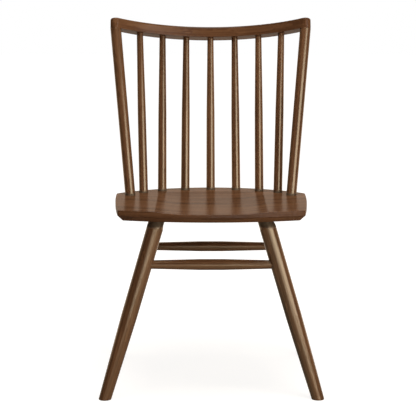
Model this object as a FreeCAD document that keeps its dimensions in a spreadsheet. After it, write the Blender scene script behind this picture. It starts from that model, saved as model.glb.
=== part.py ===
# Spindle back dining chair: a scooped plank seat on four splayed legs with a box of stretchers,
# and a reclined back of seven spindles and two posts under a bent crest rail.
# Millimetres and degrees. The origin is on the floor, under the middle of the chair's box.
# X runs to the right seen from the front, Y runs from front to back, Z runs up.
# A station is a distance behind the middle of the seat's front edge.
import FreeCAD, Part
import math
import os

import Sketcher
from FreeCAD import Placement, Rotation, Vector

SIZES = (
    # Seat plank
    ("seat_height", 445.0),
    ("seat_thickness", 25.0),
    ("seat_depth", 448.0),
    ("seat_front_width", 434.0),
    ("seat_rear_width", 472.0),
    ("seat_front_bow", 38.0),
    ("seat_side_bow", 4.0),
    ("seat_rear_radius", 300.0),
    ("seat_front_corner_radius", 6.0),
    ("seat_rear_corner_radius", 18.0),
    ("seat_bevel", 12.5),
    ("seat_rim_radius", 1.5),
    # Scoop in the top of the seat, with a runout at its rear end
    ("scoop_width", 262.0),
    ("scoop_flat", 100.0),
    ("scoop_depth", 5.0),
    ("scoop_length", 285.0),
    ("scoop_runout", 85.0),
    # Legs, tapered more below the middle than above it; the rear ones are placed from the seat's rear edge
    ("leg_shoulder_diameter", 38.6),
    ("leg_middle_diameter", 37.1),
    ("leg_foot_diameter", 27.9),
    ("leg_neck_diameter", 34.6),
    ("leg_neck_reveal", 19.7),
    ("leg_shoulder_slope", 9.0),
    ("leg_tenon_depth", 17.0),
    ("leg_foot_round", 1.5),
    ("front_leg_top_x", 125.6),
    ("front_leg_top_station", 65.0),
    ("front_leg_foot_x", 249.6),
    ("front_leg_foot_station", 25.0),
    ("rear_leg_top_x", 123.8),
    ("rear_leg_top_margin", 118.0),
    ("rear_leg_foot_x", 246.7),
    ("rear_leg_foot_overhang", 7.0),
    # Stretchers; the setback is how far short of a leg's axis a tenon stops
    ("stretcher_middle_diameter", 25.6),
    ("stretcher_middle_length", 55.0),
    ("stretcher_end_diameter", 20.3),
    ("stretcher_setback", 4.0),
    ("front_stretcher_height", 315.0),
    ("rear_stretcher_height", 305.0),
    ("side_stretcher_height", 256.0),
    # Back, from the seat to the underside of the crest rail
    ("back_recline_angle", 18.0),
    ("back_length", 399.0),
    ("back_margin", 38.5),
    ("deck_half_width", 206.0),
    ("deck_sweep", 140.0),
    ("deck_spindle_angle", 18.35),
    ("deck_post_angle", 76.4),
    ("deck_socket_depth", 18.0),
    # Crest rail
    ("crest_radius", 379.5),
    ("crest_depth", 33.5),
    ("crest_height", 27.5),
    ("crest_edge_radius", 5.0),
    ("crest_spindle_angle", 9.54),
    ("crest_post_angle", 39.5),
    ("crest_socket_depth", 14.0),
    # Posts and spindles
    ("post_foot_diameter", 25.4),
    ("post_top_diameter", 27.3),
    ("post_tenon_diameter", 16.0),
    ("spindle_foot_diameter", 22.2),
    ("spindle_middle_diameter", 20.9),
    ("spindle_top_diameter", 16.1),
    # Glue line left all round a tenon in its socket
    ("glue_gap", 0.1),
)
SPINDLES_PER_SIDE = 3
SIDES = {"left": -1, "right": 1}
ENDS = ("front", "rear")

doc = FreeCAD.newDocument("spindle_back_chair")
sheet = doc.addObject("Spreadsheet::Sheet", "dims")
sub_parts = []


def add_sizes(pairs):
    """Put plain numbers in the sheet, each under its own name."""
    first_row = len(sheet.getUsedCells()) // 2 + 1
    for row, (alias, value) in enumerate(pairs, first_row):
        sheet.set("A%d" % row, alias)
        sheet.set("B%d" % row, repr(float(value)))
        sheet.setAlias("B%d" % row, alias)
    doc.recompute()


def size(alias):
    return float(sheet.get(alias))


def cell(alias):
    return "dims." + alias


def half(alias):
    return "dims.%s / 2" % alias


def sine(angle):
    return math.sin(math.radians(angle))


def cosine(angle):
    return math.cos(math.radians(angle))


add_sizes(SIZES)
add_sizes([
    ("rear_leg_top_station", size("seat_depth") - size("rear_leg_top_margin")),
    ("rear_leg_foot_station", size("seat_depth") + size("rear_leg_foot_overhang")),
])

# Places worked out from the sizes

RECLINE = size("back_recline_angle")
BACK_UP = Vector(0, sine(RECLINE), cosine(RECLINE))
BACK_REARWARD = Vector(0, cosine(RECLINE), -sine(RECLINE))
SEAT_UNDERSIDE = size("seat_height") - size("seat_thickness")
DECK_STATION = size("seat_depth") - size("back_margin")


def rear_station():
    """Station of the rearmost point, on the rounded upper rear edge of the crest rail."""
    corner = size("crest_edge_radius")
    up = size("back_length") + size("crest_height") - corner
    rearward = size("crest_depth") / 2 - corner
    return DECK_STATION + up * sine(RECLINE) + rearward * cosine(RECLINE) + corner


REAR_STATION = rear_station()


def on_chair(x, station, height):
    """A point of the chair, with its station turned into Y."""
    return Vector(x, station - REAR_STATION / 2, height)


CREST_UNDERSIDE = on_chair(0, DECK_STATION, size("seat_height")) + BACK_UP * size("back_length")
CREST_CENTRE = CREST_UNDERSIDE - BACK_REARWARD * size("crest_radius")


def deck_point(angle):
    """Where a spindle or post leaves the top of the seat, on an ellipse."""
    x = size("deck_half_width") * sine(angle)
    station = DECK_STATION - size("deck_sweep") * (1 - cosine(angle))
    return on_chair(x, station, size("seat_height"))


def crest_point(angle):
    """Where a spindle or post enters the underside of the crest rail, on a circle."""
    outward = Vector(sine(angle), 0, 0) + BACK_REARWARD * cosine(angle)
    return CREST_CENTRE + outward * size("crest_radius")


def leg_point(end, side, height):
    """A point on the axis of a leg at a height above the floor."""
    share = height / SEAT_UNDERSIDE
    x = size(end + "_leg_foot_x") * (1 - share) + size(end + "_leg_top_x") * share
    station = size(end + "_leg_foot_station") * (1 - share) + size(end + "_leg_top_station") * share
    return on_chair(SIDES[side] * x, station, height)


def towards(start, target, shift=0.0):
    """A frame whose Z axis points from start to target, shifted along that line.

    Its X axis turns outward from the middle of the chair, so left and right pieces mirror each other.
    """
    direction = (target - start).normalize()
    outward = Vector(math.copysign(1, start.x), 0, 0)
    return Placement(start + direction * shift, Rotation(outward, Vector(), direction, "ZXY"))


def spindle_lines():
    """Deck and crest points of the spindles, by name, from left to right."""
    lines = {}
    for number in range(-SPINDLES_PER_SIDE, SPINDLES_PER_SIDE + 1):
        name = "spindle_%d" % (number + SPINDLES_PER_SIDE + 1)
        deck = deck_point(number * size("deck_spindle_angle"))
        lines[name] = (deck, crest_point(number * size("crest_spindle_angle")))
    return lines


def post_lines():
    """Deck and crest points of the posts, by name."""
    return {
        side + "_post": (deck_point(sign * size("deck_post_angle")), crest_point(sign * size("crest_post_angle")))
        for side, sign in SIDES.items()
    }


def leg_lines():
    """Foot and seat points of the legs, by name."""
    return {
        "%s_%s_leg" % (end, side): (leg_point(end, side, 0), leg_point(end, side, SEAT_UNDERSIDE))
        for end in ENDS for side in SIDES
    }


def stretcher_lines():
    """The two legs that each stretcher joins, with the points where it aims at their axes."""
    lines = {}
    for end in ENDS:
        height = size(end + "_stretcher_height")
        lines[end + "_stretcher"] = {
            "%s_%s_leg" % (end, side): leg_point(end, side, height) for side in SIDES
        }
    for side in SIDES:
        height = size("side_stretcher_height")
        lines[side + "_stretcher"] = {
            "%s_%s_leg" % (end, side): leg_point(end, side, height) for end in ENDS
        }
    return lines


def seat_sizes():
    """Station of the rear corners, and of the bow's widest point half way along each side."""
    radius = size("seat_rear_radius")
    half_width = size("seat_rear_width") / 2
    rear_corner = size("seat_depth") - radius + math.sqrt(radius ** 2 - half_width ** 2)
    return [
        ("seat_rear_corner_station", rear_corner),
        ("seat_side_station", (size("seat_front_bow") + rear_corner) / 2),
    ]


def leg_sizes():
    """Heights up each leg's own axis, from the lower end of its blank."""
    sizes = []
    for name, (foot, top) in leg_lines().items():
        seat_line = size("leg_foot_diameter") / 2 + foot.distanceToPoint(top)
        shoulder = seat_line - size("leg_neck_reveal")
        sizes += [
            (name + "_middle", shoulder / 2),
            (name + "_shoulder", shoulder),
            (name + "_neck", shoulder + size("leg_shoulder_slope")),
            (name + "_length", seat_line + size("leg_tenon_depth")),
        ]
    return sizes


def stretcher_sizes():
    """Distances along each stretcher's own axis."""
    tenon = size("leg_shoulder_diameter") / 2 - size("stretcher_setback")
    sizes = [("stretcher_tenon_length", tenon)]
    for name, aims in stretcher_lines().items():
        start, target = aims.values()
        length = start.distanceToPoint(target) - 2 * size("stretcher_setback")
        sizes += [
            (name + "_middle_start", (length - size("stretcher_middle_length")) / 2),
            (name + "_middle_end", (length + size("stretcher_middle_length")) / 2),
            (name + "_shoulder", length - tenon),
            (name + "_length", length),
        ]
    return sizes


def back_sizes():
    """Heights up the own axis of each post and spindle, from its lower end."""
    sizes = []
    depth = size("deck_socket_depth")
    for name, (deck, crest) in post_lines().items():
        reach = depth + deck.distanceToPoint(crest)
        sizes += [(name + "_reach", reach), (name + "_length", reach + size("post_top_diameter"))]
    for name, (deck, crest) in spindle_lines().items():
        visible = deck.distanceToPoint(crest)
        sizes += [
            (name + "_middle", depth + visible / 2),
            (name + "_reach", depth + visible),
            (name + "_length", depth + visible + size("crest_socket_depth")),
        ]
    return sizes


add_sizes(seat_sizes() + leg_sizes() + stretcher_sizes() + back_sizes())

# Sketch helpers, with the numbers that stand for the points of an edge and for the axes

START, END, CENTRE = range(1, 4)
LEVEL_AXIS, UPRIGHT_AXIS = range(-1, -3, -1)
ORIGIN = (LEVEL_AXIS, START)


def new_body(label, placement):
    body = doc.addObject("PartDesign::Body", label)
    body.Label = label
    body.Placement = placement
    sub_parts.append(body)
    return body


def new_sketch(body, name, role):
    sketch = body.newObject("Sketcher::SketchObject", name)
    plane = [feature for feature in body.Origin.OriginFeatures if feature.Role == role][0]
    sketch.AttachmentSupport = [(plane, "")]
    sketch.MapMode = "FlatFace"
    return sketch


def add_line(sketch, first, last):
    return sketch.addGeometry(Part.LineSegment(first, last))


def add_arc(sketch, first, middle, last):
    return sketch.addGeometry(Part.Arc(first, middle, last))


def relate(sketch, kind, *references):
    sketch.addConstraint(Sketcher.Constraint(kind, *references))


def measure(sketch, kind, references, value, expression):
    """Add a dimension to a sketch and tie it to the sheet."""
    number = sketch.addConstraint(Sketcher.Constraint(kind, *references, value))
    sketch.setExpression("Constraints[%d]" % number, expression)


def pin(sketch, point, place, x_expression, y_expression):
    measure(sketch, "DistanceX", (*ORIGIN, *point), place.x, x_expression)
    measure(sketch, "DistanceY", (*ORIGIN, *point), place.y, y_expression)


def end_at(sketch, edge, corner):
    """The end of an edge that lies at a corner; arcs may run either way."""
    start_gap = sketch.getPoint(edge, START).distanceToPoint(corner)
    end_gap = sketch.getPoint(edge, END).distanceToPoint(corner)
    return (edge, START) if start_gap < end_gap else (edge, END)


def join_edges(sketch, edges, corners, smooth=()):
    """Join each edge to the next one at the corner between them, all the way round."""
    for edge, following, corner in zip(edges, edges[1:] + edges[:1], corners):
        kind = "Tangent" if corner in smooth else "Coincident"
        relate(sketch, kind, *end_at(sketch, edge, corner), *end_at(sketch, following, corner))


def point_on_arc(sketch, arc, place):
    """A construction point that an arc passes through."""
    point = (sketch.addGeometry(Part.Point(place), True), START)
    relate(sketch, "PointOnObject", *point, arc)
    return point


def cross_axis_at(sketch, arc, height, expression):
    """Make an arc cross the upright axis of its sketch at a height."""
    point = point_on_arc(sketch, arc, Vector(0, height, 0))
    relate(sketch, "PointOnObject", *point, UPRIGHT_AXIS)
    measure(sketch, "DistanceY", (*ORIGIN, *point), height, expression)


def mirrored(place):
    return Vector(-place.x, place.y, 0)


# Ways of working a piece

def turn(body, foot_diameter, steps):
    """Turn a round piece about its Z axis, from its lower end up, in straight lengths and tapers.

    A step is the diameter and the height that the side reaches next.
    """
    sketch = new_sketch(body, "outline", "XZ_Plane")
    foot = Vector(size(foot_diameter) / 2, 0, 0)
    reached = [Vector(size(diameter) / 2, size(height), 0) for diameter, height in steps]
    tip = Vector(0, reached[-1].y, 0)
    corners = [foot, *reached, tip, Vector()]
    edges = [add_line(sketch, *ends) for ends in zip(corners[-1:] + corners, corners)]
    base, *sides, top, axis = edges
    join_edges(sketch, edges, corners)
    relate(sketch, "Coincident", base, START, *ORIGIN)
    relate(sketch, "Horizontal", base)
    relate(sketch, "Horizontal", top)
    relate(sketch, "Vertical", axis)
    measure(sketch, "DistanceX", (*ORIGIN, base, END), foot.x, half(foot_diameter))
    for side, place, (diameter, height) in zip(sides, reached, steps):
        pin(sketch, (side, END), place, half(diameter), cell(height))
    turning = body.newObject("PartDesign::Revolution", "turning")
    turning.Profile = sketch
    turning.ReferenceAxis = (sketch, ["V_Axis"])
    turning.Angle = 360


def bore(body, name, diameter, start, target, depth, reach):
    """Bore a socket for a tenon that ends a depth behind start and leaves towards the target."""
    gap = size("glue_gap")
    hole = body.newObject("PartDesign::SubtractiveCylinder", name)
    hole.setExpression("Radius", "dims.%s / 2 + dims.glue_gap" % diameter)
    hole.Height = depth + gap + reach
    hole.Placement = body.Placement.inverse() * towards(start, target, -depth - gap)


def saw_off(body, name, placement, width):
    """Cut away everything above the XY plane of a frame given on the whole chair."""
    block = body.newObject("PartDesign::SubtractiveBox", name)
    block.Length = width
    block.Width = width
    block.Height = width
    corner = Placement(Vector(-width / 2, -width / 2, 0), Rotation())
    block.Placement = body.Placement.inverse() * placement * corner


def dress(body, kind, name, is_wanted, amount):
    """Round or bevel the edges of the piece so far that pass a test, by a size in the sheet."""
    doc.recompute()
    base = body.Tip
    edges = ["Edge%d" % number for number, edge in enumerate(base.Shape.Edges, 1) if is_wanted(edge)]
    dressing = body.newObject("PartDesign::" + kind, name)
    dressing.Base = (base, edges)
    dressing.setExpression("Radius" if kind == "Fillet" else "Size", cell(amount))


# Seat

def seat_plan(body):
    """Bowed front, slightly bowed sides and a round rear edge."""
    sketch = new_sketch(body, "plan", "XY_Plane")
    nose = Vector(0, 0, 0)
    tail = Vector(0, size("seat_depth"), 0)
    front = Vector(size("seat_front_width") / 2, size("seat_front_bow"), 0)
    rear = Vector(size("seat_rear_width") / 2, size("seat_rear_corner_station"), 0)
    side = (front + rear) / 2 + Vector(size("seat_side_bow"), 0, 0)
    front_edge = add_arc(sketch, mirrored(front), nose, front)
    right_edge = add_arc(sketch, front, side, rear)
    rear_edge = add_arc(sketch, rear, tail, mirrored(rear))
    left_edge = add_arc(sketch, mirrored(rear), mirrored(side), mirrored(front))
    join_edges(sketch, [front_edge, right_edge, rear_edge, left_edge],
               [front, rear, mirrored(rear), mirrored(front)])
    for corner in (front, rear):
        relate(sketch, "Symmetric", *end_at(sketch, right_edge, corner),
               *end_at(sketch, left_edge, mirrored(corner)), UPRIGHT_AXIS)
    relate(sketch, "PointOnObject", *ORIGIN, front_edge)
    pin(sketch, end_at(sketch, right_edge, front), front, half("seat_front_width"), cell("seat_front_bow"))
    pin(sketch, point_on_arc(sketch, right_edge, side), side,
        "(dims.seat_front_width + dims.seat_rear_width) / 4 + dims.seat_side_bow", cell("seat_side_station"))
    relate(sketch, "Equal", left_edge, right_edge)
    pin(sketch, end_at(sketch, right_edge, rear), rear, half("seat_rear_width"), cell("seat_rear_corner_station"))
    cross_axis_at(sketch, rear_edge, tail.y, cell("seat_depth"))
    return sketch


def scoop_section(body, name):
    """Section of the scoop: a flat floor, a rising curve on each side, open at the top.

    Its construction line is the axis that the runout turns about.
    """
    sketch = new_sketch(body, name, "XZ_Plane")
    depth = size("scoop_depth")
    runout = size("scoop_runout")
    top = size("seat_thickness")
    floor = Vector(size("scoop_flat") / 2, top - depth, 0)
    rim = Vector(size("scoop_width") / 2, top, 0)
    lid = Vector(rim.x, top + depth, 0)
    rise = math.atan2(depth, rim.x - floor.x)
    curve = depth / (1 - math.cos(2 * rise))
    between = floor + Vector(curve * math.sin(rise), curve * (1 - math.cos(rise)), 0)
    axis_end = Vector(rim.x, top - depth + (runout ** 2 + depth ** 2) / (2 * depth), 0)
    axis = add_line(sketch, mirrored(axis_end), axis_end)
    sketch.setConstruction(axis, True)
    flat = add_line(sketch, mirrored(floor), floor)
    right_rise = add_arc(sketch, floor, between, rim)
    right_wall = add_line(sketch, rim, lid)
    opening = add_line(sketch, lid, mirrored(lid))
    left_wall = add_line(sketch, mirrored(lid), mirrored(rim))
    left_rise = add_arc(sketch, mirrored(rim), mirrored(between), mirrored(floor))
    join_edges(sketch, [flat, right_rise, right_wall, opening, left_wall, left_rise],
               [floor, rim, lid, mirrored(lid), mirrored(rim), mirrored(floor)], [floor, mirrored(floor)])
    for line in (flat, opening, axis):
        relate(sketch, "Symmetric", line, START, line, END, UPRIGHT_AXIS)
    relate(sketch, "Symmetric", right_wall, START, left_wall, END, UPRIGHT_AXIS)
    relate(sketch, "Vertical", right_wall)
    pin(sketch, (flat, END), floor, half("scoop_flat"), "dims.seat_thickness - dims.scoop_depth")
    pin(sketch, (right_wall, START), rim, half("scoop_width"), cell("seat_thickness"))
    measure(sketch, "DistanceY", (*ORIGIN, right_wall, END), lid.y, "dims.seat_thickness + dims.scoop_depth")
    pin(sketch, (axis, END), axis_end, half("scoop_width"),
        "dims.seat_thickness - dims.scoop_depth / 2 + dims.scoop_runout ^ 2 / (2 * dims.scoop_depth)")
    return sketch


def scoop_out(body):
    """Hollow the seat from its front edge back, and let the hollow run out behind."""
    channel = body.newObject("PartDesign::Pocket", "scoop")
    channel.Profile = scoop_section(body, "scoop_section")
    channel.Midplane = True
    channel.setExpression("Length", "2 * dims.scoop_length")
    section = scoop_section(body, "runout_section")
    section.setExpression("AttachmentOffset.Base.z", "-dims.scoop_length")
    runout = body.newObject("PartDesign::Groove", "runout")
    runout.Profile = section
    runout.ReferenceAxis = (section, ["Axis0"])
    runout.Midplane = True
    runout.setExpression("Angle", "8 * atan(dims.scoop_depth / dims.scoop_runout)")


def make_seat():
    body = new_body("seat", Placement(on_chair(0, 0, SEAT_UNDERSIDE), Rotation()))
    thickness = size("seat_thickness")
    middle = size("seat_depth") / 2
    plank = body.newObject("PartDesign::Pad", "plank")
    plank.Profile = seat_plan(body)
    plank.setExpression("Length", cell("seat_thickness"))

    def is_lower(edge):
        return edge.BoundBox.ZMax < thickness / 4

    def is_front_corner(edge):
        return edge.BoundBox.ZLength > thickness / 4 and edge.CenterOfMass.y < middle

    def is_rear_corner(edge):
        return edge.BoundBox.ZLength > thickness / 4 and edge.CenterOfMass.y > middle

    def is_sheer(face, place):
        return abs(face.normalAt(*face.Surface.parameter(place)).z) < 0.01

    def is_rim(edge):
        faces = body.Tip.Shape.ancestorsOfType(edge, Part.Face)
        is_high = edge.BoundBox.ZMin > thickness - 1.5 * size("scoop_depth")
        return is_high and any(is_sheer(face, edge.CenterOfMass) for face in faces)

    dress(body, "Chamfer", "bevel", is_lower, "seat_bevel")
    dress(body, "Fillet", "front_corners", is_front_corner, "seat_front_corner_radius")
    dress(body, "Fillet", "rear_corners", is_rear_corner, "seat_rear_corner_radius")
    scoop_out(body)
    dress(body, "Fillet", "rim", is_rim, "seat_rim_radius")
    for name, (foot, top) in leg_lines().items():
        bore(body, name + "_socket", "leg_neck_diameter", top, foot,
             size("leg_tenon_depth"), size("leg_neck_diameter"))
    for name, (deck, crest) in spindle_lines().items():
        bore(body, name + "_socket", "spindle_foot_diameter", deck, crest,
             size("deck_socket_depth"), size("spindle_foot_diameter"))
    for name, (deck, crest) in post_lines().items():
        bore(body, name + "_socket", "post_foot_diameter", deck, crest,
             size("deck_socket_depth"), size("post_foot_diameter"))


# Base

def make_legs():
    for name, (foot, top) in leg_lines().items():
        body = new_body(name, towards(foot, top, -size("leg_foot_diameter") / 2))
        turn(body, "leg_foot_diameter", [
            ("leg_middle_diameter", name + "_middle"),
            ("leg_shoulder_diameter", name + "_shoulder"),
            ("leg_neck_diameter", name + "_neck"),
            ("leg_neck_diameter", name + "_length"),
        ])
        downward = Rotation(Vector(1, 0, 0), 180)
        saw_off(body, "floor_cut", Placement(foot, downward), 4 * size("leg_foot_diameter"))

        def is_on_floor(edge):
            return all(abs((body.Placement * vertex.Point).z) < 0.01 for vertex in edge.Vertexes)

        dress(body, "Fillet", "foot_edge", is_on_floor, "leg_foot_round")
        for stretcher, aims in stretcher_lines().items():
            if name in aims:
                start = aims.pop(name)
                (target,) = aims.values()
                bore(body, stretcher + "_mortise", "stretcher_end_diameter", start, target,
                     -size("stretcher_setback"), size("leg_shoulder_diameter"))


def make_stretchers():
    for name, aims in stretcher_lines().items():
        start, target = aims.values()
        body = new_body(name, towards(start, target, size("stretcher_setback")))
        turn(body, "stretcher_end_diameter", [
            ("stretcher_end_diameter", "stretcher_tenon_length"),
            ("stretcher_middle_diameter", name + "_middle_start"),
            ("stretcher_middle_diameter", name + "_middle_end"),
            ("stretcher_end_diameter", name + "_shoulder"),
            ("stretcher_end_diameter", name + "_length"),
        ])


# Back

def make_posts():
    for name, (deck, crest) in post_lines().items():
        body = new_body(name, towards(deck, crest, -size("deck_socket_depth")))
        turn(body, "post_foot_diameter", [
            ("post_foot_diameter", "deck_socket_depth"),
            ("post_top_diameter", name + "_reach"),
            ("post_top_diameter", name + "_length"),
        ])
        shoulder = crest - BACK_UP * size("glue_gap")
        saw_off(body, "shoulder_cut", towards(shoulder, crest), 4 * size("post_top_diameter"))
        tenon = body.newObject("PartDesign::AdditiveCylinder", "tenon")
        tenon.setExpression("Radius", half("post_tenon_diameter"))
        tenon.setExpression("Height", "dims.post_top_diameter + dims.crest_socket_depth")
        tenon.setExpression("Placement.Base.z", "dims.%s_reach - dims.post_top_diameter" % name)


def make_spindles():
    for name, (deck, crest) in spindle_lines().items():
        body = new_body(name, towards(deck, crest, -size("deck_socket_depth")))
        turn(body, "spindle_foot_diameter", [
            ("spindle_foot_diameter", "deck_socket_depth"),
            ("spindle_middle_diameter", name + "_middle"),
            ("spindle_top_diameter", name + "_reach"),
            ("spindle_top_diameter", name + "_length"),
        ])


def crest_plan(body):
    """A crescent about the origin: two long arcs that run smoothly into round ends over the posts."""
    sketch = new_sketch(body, "plan", "XY_Plane")
    radius = size("crest_radius")
    half_depth = size("crest_depth") / 2
    end_radius = size("post_top_diameter") / 2
    angle = size("crest_post_angle")
    end_centre = Vector(radius * sine(angle), radius * cosine(angle), 0)
    end_tip = end_centre + Vector(cosine(angle), -sine(angle), 0) * end_radius

    def long_arc_centre(crossing, sign):
        """Centre of the long arc that crosses the middle line and touches the round ends."""
        reach = crossing + sign * end_radius
        return Vector(0, (reach ** 2 - radius ** 2) / (2 * (reach - end_centre.y)), 0)

    def touching_point(centre, crossing):
        return centre + (end_centre - centre).normalize() * (crossing - centre.y)

    front = Vector(0, radius - half_depth, 0)
    rear = Vector(0, radius + half_depth, 0)
    front_end = touching_point(long_arc_centre(front.y, 1), front.y)
    rear_end = touching_point(long_arc_centre(rear.y, -1), rear.y)
    front_edge = add_arc(sketch, mirrored(front_end), front, front_end)
    right_edge = add_arc(sketch, front_end, end_tip, rear_end)
    rear_edge = add_arc(sketch, rear_end, rear, mirrored(rear_end))
    left_edge = add_arc(sketch, mirrored(rear_end), mirrored(end_tip), mirrored(front_end))
    corners = [front_end, rear_end, mirrored(rear_end), mirrored(front_end)]
    join_edges(sketch, [front_edge, right_edge, rear_edge, left_edge], corners, corners)
    pin(sketch, (right_edge, CENTRE), end_centre, "dims.crest_radius * sin(dims.crest_post_angle * 1 deg)",
        "dims.crest_radius * cos(dims.crest_post_angle * 1 deg)")
    relate(sketch, "Symmetric", right_edge, CENTRE, left_edge, CENTRE, UPRIGHT_AXIS)
    measure(sketch, "Radius", (right_edge,), end_radius, half("post_top_diameter"))
    relate(sketch, "Equal", left_edge, right_edge)
    cross_axis_at(sketch, front_edge, front.y, "dims.crest_radius - dims.crest_depth / 2")
    cross_axis_at(sketch, rear_edge, rear.y, "dims.crest_radius + dims.crest_depth / 2")
    return sketch


def make_crest():
    body = new_body("crest_rail", Placement(CREST_CENTRE, Rotation(Vector(1, 0, 0), -RECLINE)))
    rail = body.newObject("PartDesign::Pad", "rail")
    rail.Profile = crest_plan(body)
    rail.setExpression("Length", cell("crest_height"))

    def is_upper(edge):
        return edge.BoundBox.ZMin > size("crest_height") / 2

    dress(body, "Fillet", "top_edge", is_upper, "crest_edge_radius")
    for name, (deck, crest) in spindle_lines().items():
        bore(body, name + "_socket", "spindle_top_diameter", crest, deck,
             size("crest_socket_depth"), size("spindle_top_diameter"))
    for name, (deck, crest) in post_lines().items():
        bore(body, name + "_socket", "post_tenon_diameter", crest, deck,
             size("crest_socket_depth"), size("post_tenon_diameter"))


def check_and_write():
    doc.recompute()
    for thing in doc.Objects:
        if "Invalid" in thing.State or "Error" in thing.State:
            raise RuntimeError("%s did not build" % thing.FullName)
    for body in sub_parts:
        if body.Shape.isNull() or not body.Shape.isValid() or len(body.Shape.Solids) != 1:
            raise RuntimeError("%s is not one sound solid" % body.Label)
    os.makedirs("parts", exist_ok=True)
    for body in sub_parts:
        body.Shape.exportStep("parts/%s.step" % body.Label)


make_seat()
make_legs()
make_stretchers()
make_posts()
make_spindles()
make_crest()
check_and_write()
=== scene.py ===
# Looks of a spindle back dining chair: dark walnut stain under satin lacquer, on a plain pale floor.
# Metres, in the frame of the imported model: X to the right seen from the front, Y to the back, Z up.
import math

import bpy
import numpy as np
from mathutils import Euler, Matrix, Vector

# Camera, worked out from the photograph
IMAGE_SIDE_PIXELS = 416
FOCAL_LENGTH_PIXELS = 1452.2
SENSOR_WIDTH_MM = 36.0
CAMERA_PLACE = (-0.020, -3.5530, 0.9315)
CAMERA_PITCH = math.radians(8.26)
CAMERA_YAW = math.radians(0.206)

# Studio: a light overhead, a broad key light on the right, a weak fill light in front, and a strip light near the
# floor whose reflection draws the bright line down the left leg
LIGHTS = {
    "overhead": {"azimuth": 5, "elevation": 80, "distance": 3.6, "width": 2.0, "height": 1.8, "power": 72},
    "key": {"azimuth": 37, "elevation": 19, "distance": 2.55, "width": 1.9, "height": 2.0, "power": 44},
    "fill": {"azimuth": 0, "elevation": 2.2, "distance": 6.0, "width": 3.2, "height": 1.3, "power": 18},
    "strip": {"azimuth": 20, "elevation": -8.4, "distance": 2.65, "width": 2.0, "height": 0.14, "power": 3.5},
}
AIM_HEIGHT = 0.45

# Room: dim in front and at the sides, rising to a bright backdrop behind the chair
ROOM_LEVEL = 0.03
BACKDROP_LEVEL = 0.88
BACKDROP_RISE = (0.2, 0.9)
BACKDROP_COLOUR = (1.0, 0.8, 0.63)

# Floor: a white pool round the chair for the camera, and a mirrored backdrop from behind the rear feet on
FLOOR_COLOUR = (0.37, 0.33, 0.28)
FLOOR_SIDE = 40.0
POOL_RADIUS = 1.5
POOL_LEVEL = 0.82
MIRRORED_RISE = (0.3, 1.3)

# Wood: the turned pieces are polished, and the flat boards have a duller satin
# The last value of each finish is the colour left in the painted shade where a round piece meets the seat; 1.0
# paints none
FINISHES = {
    "turned": {"specular": 1.0, "coat": 0.0, "roughness": (0.15, 0.25), "painted_shade_level": 0.3},
    "board": {"specular": 0.0, "coat": 0.35, "roughness": (0.3, 0.4), "painted_shade_level": 1.0},
}
BOARDS = ("seat", "crest_rail")
STAIN = [
    (0.32, (0.06, 0.023, 0.0085)),
    (0.5, (0.138, 0.0585, 0.0245)),
    (0.68, (0.22, 0.1, 0.043)),
]
WOOD_IOR = 1.6
WOOD_SPECULAR_TINT = (1.0, 0.82, 0.55, 1)
LACQUER_IOR = 1.5
LACQUER_ROUGHNESS = 0.2

# Grain: each noise has its scale along the grain and in the two directions across it, its detail and its roughness
FIGURE = ((3.0, 22.0, 22.0), 3.0, 0.55)
STREAKS = ((3.0, 240.0, 240.0), 2.0, 0.55)
FIBRES = ((9.0, 420.0, 420.0), 5.0, 0.7)
RING_STRETCH = (0.35, 1.0, 1.0)
RINGS = {"Scale": 38.0, "Distortion": 3.0, "Detail": 2.0, "Detail Scale": 1.4, "Detail Roughness": 0.6}
FIBRE_SHARE = 0.3
THREAD_SHARE = 0.48
RING_SHARE = 0.09
RELIEF_STRENGTH = 0.6
RELIEF_DEPTH = 0.0008
EASED_EDGE_RADIUS = 0.0018
SEAT_GRAIN = {"axes": np.eye(3), "bend": (0.8, 0.0, 0.0)}
PIECE_SPREAD = np.array((0.83, 0.31, 0.47))

# Painted shade where round pieces meet the seat, standing in for the seat's shadow on the leg necks and a dark
# contact line at the spindle feet: full from just above the seat to most of the way down a leg's neck
PAINTED_SHADE_MIDDLE = 0.4265
PAINTED_SHADE_REACH = (0.0195, 0.0275)
PAINTED_SHADE_ROUGHNESS = 0.95


def light_up(name, azimuth, elevation, distance, width, height, power):
    """A soft light aimed at the middle of the chair; azimuth 0 is in front of it, and 90 on its right."""
    data = bpy.data.lights.new(name, "AREA")
    data.shape = "RECTANGLE"
    data.size = width
    data.size_y = height
    data.energy = power
    lamp = bpy.data.objects.new(name, data)
    turn = Euler((math.radians(90 - elevation), 0, math.radians(azimuth)))
    lamp.rotation_euler = turn
    lamp.location = Vector((0, 0, AIM_HEIGHT)) + turn.to_matrix() @ Vector((0, 0, distance))
    bpy.context.scene.collection.objects.link(lamp)


def add_node(tree, kind, inputs=None, **settings):
    """Add a shader node; an input is given as a value or as the socket that feeds it."""
    node = tree.nodes.new("ShaderNode" + kind)
    for name, value in settings.items():
        setattr(node, name, value)
    for name, value in (inputs or {}).items():
        if isinstance(value, bpy.types.NodeSocket):
            tree.links.new(value, node.inputs[name])
        else:
            node.inputs[name].default_value = value
    return node


def add_ramp(tree, factor, stops):
    """A colour ramp with (position, colour) stops."""
    ramp = add_node(tree, "ValToRGB", {"Fac": factor})
    elements = ramp.color_ramp.elements
    for element, (position, colour) in zip(elements, (stops[0], stops[-1])):
        element.position = position
        element.color = (*colour, 1)
    for position, colour in stops[1:-1]:
        elements.new(position).color = (*colour, 1)
    return ramp.outputs["Color"]


def empty_tree(owner):
    """The cleared node tree of a material or world."""
    owner.use_nodes = True
    owner.node_tree.nodes.clear()
    return owner.node_tree


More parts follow.
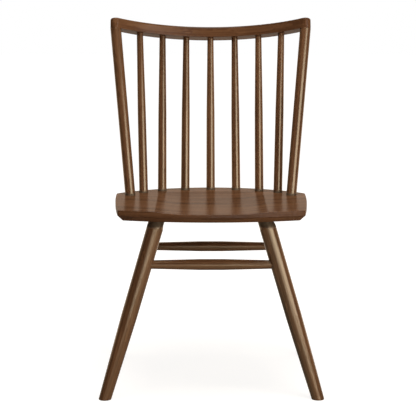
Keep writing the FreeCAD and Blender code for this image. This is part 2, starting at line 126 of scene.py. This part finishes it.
def lay_grain(piece, axes=None, bend=None):
    """Each point's place along and across the grain, with a bent piece laid out straight."""
    points = np.array([vertex.co for vertex in piece.data.vertices])
    points -= points.mean(axis=0)
    if axes is None:
        axes = np.linalg.svd(points, full_matrices=False)[2]
    grain = points @ axes.T
    if bend is None:
        bend = np.polyfit(grain[:, 0], grain[:, 1], 2)
    grain[:, 1] -= np.polyval(bend, grain[:, 0])
    return grain


def store_grain(piece, grain):
    attribute = piece.data.attributes.new("grain", "FLOAT_VECTOR", "POINT")
    attribute.data.foreach_set("vector", grain.astype(np.float32).ravel())


def stained_wood(finish, specular, coat, roughness, painted_shade_level):
    """Dark stain with lengthwise figure and open fibres, and painted shade, darker and duller, where a round piece
    meets the seat.
    """
    material = bpy.data.materials.new("stained_wood_" + finish)
    tree = empty_tree(material)
    grain = add_node(tree, "Attribute", attribute_name="grain").outputs["Vector"]

    def stretched(scale):
        return add_node(tree, "Mapping", {"Vector": grain, "Scale": scale}).outputs["Vector"]

    def noise(scale, detail, roughness):
        return add_node(tree, "TexNoise", {
            "Vector": stretched(scale), "Scale": 1.0, "Detail": detail, "Roughness": roughness,
        }).outputs["Fac"]

    def mixed(factor, first, second, blend="MIX"):
        return add_node(tree, "MixRGB", {
            "Fac": factor, "Color1": first, "Color2": second,
        }, blend_type=blend).outputs["Color"]

    figure = noise(*FIGURE)
    streaks = noise(*STREAKS)
    fibres = noise(*FIBRES)
    rings = add_node(tree, "TexWave", {
        "Vector": stretched(RING_STRETCH), **RINGS,
    }, wave_type="RINGS", rings_direction="X", wave_profile="SAW").outputs["Fac"]
    threads = mixed(FIBRE_SHARE, streaks, fibres)
    tone = mixed(RING_SHARE, mixed(THREAD_SHARE, figure, threads), rings)
    colour = add_ramp(tree, tone, STAIN)

    # Painted shade: a band round the seat's height is darkened and dulled, standing in for the seat's shadow on
    # the leg necks and the spindle feet
    height = add_node(tree, "SeparateXYZ", {
        "Vector": add_node(tree, "NewGeometry").outputs["Position"],
    }).outputs["Z"]
    painted_shade_distance = add_node(tree, "Math", {0: height, 1: PAINTED_SHADE_MIDDLE}, operation="SUBTRACT").outputs["Value"]
    painted_shade_distance = add_node(tree, "Math", {0: painted_shade_distance}, operation="ABSOLUTE").outputs["Value"]
    clear = add_node(tree, "MapRange", {
        "Value": painted_shade_distance, "From Min": PAINTED_SHADE_REACH[0], "From Max": PAINTED_SHADE_REACH[1], "To Min": painted_shade_level,
    }, interpolation_type="SMOOTHSTEP").outputs["Result"]
    painted_shade_colour = mixed(1.0, colour, clear, "MULTIPLY")
    gloss = add_node(tree, "MapRange", {
        "Value": fibres, "To Min": roughness[0], "To Max": roughness[1],
    }).outputs["Result"]
    dulled = add_node(tree, "MapRange", {
        "Value": clear, "To Min": PAINTED_SHADE_ROUGHNESS, "To Max": gloss,
    }).outputs["Result"]

    eased = add_node(tree, "Bevel", {"Radius": EASED_EDGE_RADIUS}, samples=4).outputs["Normal"]
    bump = add_node(tree, "Bump", {
        "Strength": RELIEF_STRENGTH, "Distance": RELIEF_DEPTH, "Height": threads, "Normal": eased,
    }).outputs["Normal"]
    shader = add_node(tree, "BsdfPrincipled", {
        "Base Color": painted_shade_colour, "Roughness": dulled, "Normal": bump, "IOR": WOOD_IOR,
        "Specular IOR Level": specular, "Specular Tint": WOOD_SPECULAR_TINT,
        "Coat Weight": coat, "Coat Roughness": LACQUER_ROUGHNESS, "Coat IOR": LACQUER_IOR, "Coat Normal": bump,
    })
    add_node(tree, "OutputMaterial", {"Surface": shader.outputs["BSDF"]})
    return material


def dress_wood(nodes):
    """Give each piece its finish, and its own stretch of grain."""
    woods = {finish: stained_wood(finish, **values) for finish, values in FINISHES.items()}
    for number, (name, piece) in enumerate(sorted(nodes.items())):
        grain = lay_grain(piece, **(SEAT_GRAIN if name == "seat" else {}))
        store_grain(piece, grain + number * PIECE_SPREAD)
        for slot in piece.material_slots:
            slot.material = woods["board" if name in BOARDS else "turned"]


def show_white(tree, camera_level, gloss_level, level):
    """A strength with its own level for the camera, for reflections, and for the light on the chair."""
    path = add_node(tree, "LightPath").outputs
    seen = add_node(tree, "Math", {
        0: path["Is Camera Ray"], 1: path["Is Transmission Ray"],
    }, operation="MAXIMUM").outputs["Value"]
    reflected = add_node(tree, "MapRange", {
        "Value": path["Is Glossy Ray"], "To Min": level, "To Max": gloss_level,
    }).outputs["Result"]
    return add_node(tree, "MapRange", {
        "Value": seen, "To Min": reflected, "To Max": camera_level,
    }).outputs["Result"]


def warm_reflections(tree):
    """White, but the backdrop's colour in reflections."""
    reflected = add_node(tree, "LightPath").outputs["Is Glossy Ray"]
    return add_node(tree, "MixRGB", {
        "Fac": reflected, "Color1": (1, 1, 1, 1), "Color2": (*BACKDROP_COLOUR, 1),
    }).outputs["Color"]


def lay_floor():
    """A pale floor that the camera sees as white, with the chair's shadow left on it."""
    half = FLOOR_SIDE / 2
    mesh = bpy.data.meshes.new("floor")
    mesh.from_pydata([(-half, -half, 0), (half, -half, 0), (half, half, 0), (-half, half, 0)], [], [(0, 1, 2, 3)])
    floor = bpy.data.objects.new("floor", mesh)
    bpy.context.scene.collection.objects.link(floor)
    material = bpy.data.materials.new("pale_floor")
    tree = empty_tree(material)
    paint = add_node(tree, "BsdfDiffuse", {"Color": (*FLOOR_COLOUR, 1)})
    place = add_node(tree, "NewGeometry").outputs["Position"]
    reach = add_node(tree, "VectorMath", {0: place}, operation="LENGTH").outputs["Value"]
    white = add_node(tree, "MapRange", {
        "Value": reach, "From Max": POOL_RADIUS, "To Min": POOL_LEVEL,
    }, interpolation_type="SMOOTHSTEP").outputs["Result"]
    rearward = add_node(tree, "SeparateXYZ", {"Vector": place}).outputs["Y"]
    mirrored = add_node(tree, "MapRange", {
        "Value": rearward, "From Min": MIRRORED_RISE[0], "From Max": MIRRORED_RISE[1],
    }).outputs["Result"]
    glow = add_node(tree, "Emission", {
        "Color": warm_reflections(tree), "Strength": show_white(tree, white, mirrored, 0.0),
    })
    both = add_node(tree, "AddShader", {0: paint.outputs["BSDF"], 1: glow.outputs["Emission"]})
    add_node(tree, "OutputMaterial", {"Surface": both.outputs["Shader"]})
    mesh.materials.append(material)


def light_room():
    """White to the camera; to reflections and as light, a dim room with a bright backdrop behind the chair."""
    world = bpy.data.worlds.new("room")
    bpy.context.scene.world = world
    tree = empty_tree(world)
    direction = add_node(tree, "TexCoord").outputs["Generated"]
    rearward = add_node(tree, "SeparateXYZ", {"Vector": direction}).outputs["Y"]
    backdrop = add_node(tree, "MapRange", {
        "Value": rearward, "From Min": BACKDROP_RISE[0], "From Max": BACKDROP_RISE[1],
        "To Min": ROOM_LEVEL, "To Max": BACKDROP_LEVEL,
    }).outputs["Result"]
    strength = show_white(tree, 1.0, backdrop, backdrop)
    sky = add_node(tree, "Background", {"Color": warm_reflections(tree), "Strength": strength})
    add_node(tree, "OutputWorld", {"Surface": sky.outputs["Background"]})


def place_camera():
    data = bpy.data.cameras.new("camera")
    data.sensor_width = SENSOR_WIDTH_MM
    data.lens = FOCAL_LENGTH_PIXELS / IMAGE_SIDE_PIXELS * SENSOR_WIDTH_MM
    camera = bpy.data.objects.new("camera", data)
    camera.location = CAMERA_PLACE
    camera.rotation_euler = (math.pi / 2 - CAMERA_PITCH, 0, -CAMERA_YAW)
    bpy.context.scene.collection.objects.link(camera)
    bpy.context.scene.camera = camera


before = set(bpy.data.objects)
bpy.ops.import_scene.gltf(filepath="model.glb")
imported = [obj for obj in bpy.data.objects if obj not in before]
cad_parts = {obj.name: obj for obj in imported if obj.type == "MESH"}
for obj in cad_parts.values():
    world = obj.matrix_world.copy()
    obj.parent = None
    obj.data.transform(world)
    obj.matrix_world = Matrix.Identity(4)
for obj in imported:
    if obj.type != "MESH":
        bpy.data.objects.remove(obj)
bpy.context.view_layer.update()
dress_wood(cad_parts)
lay_floor()
light_room()
for name, values in LIGHTS.items():
    light_up(name, **values)
place_camera()
bpy.context.scene.view_settings.view_transform = "Standard"
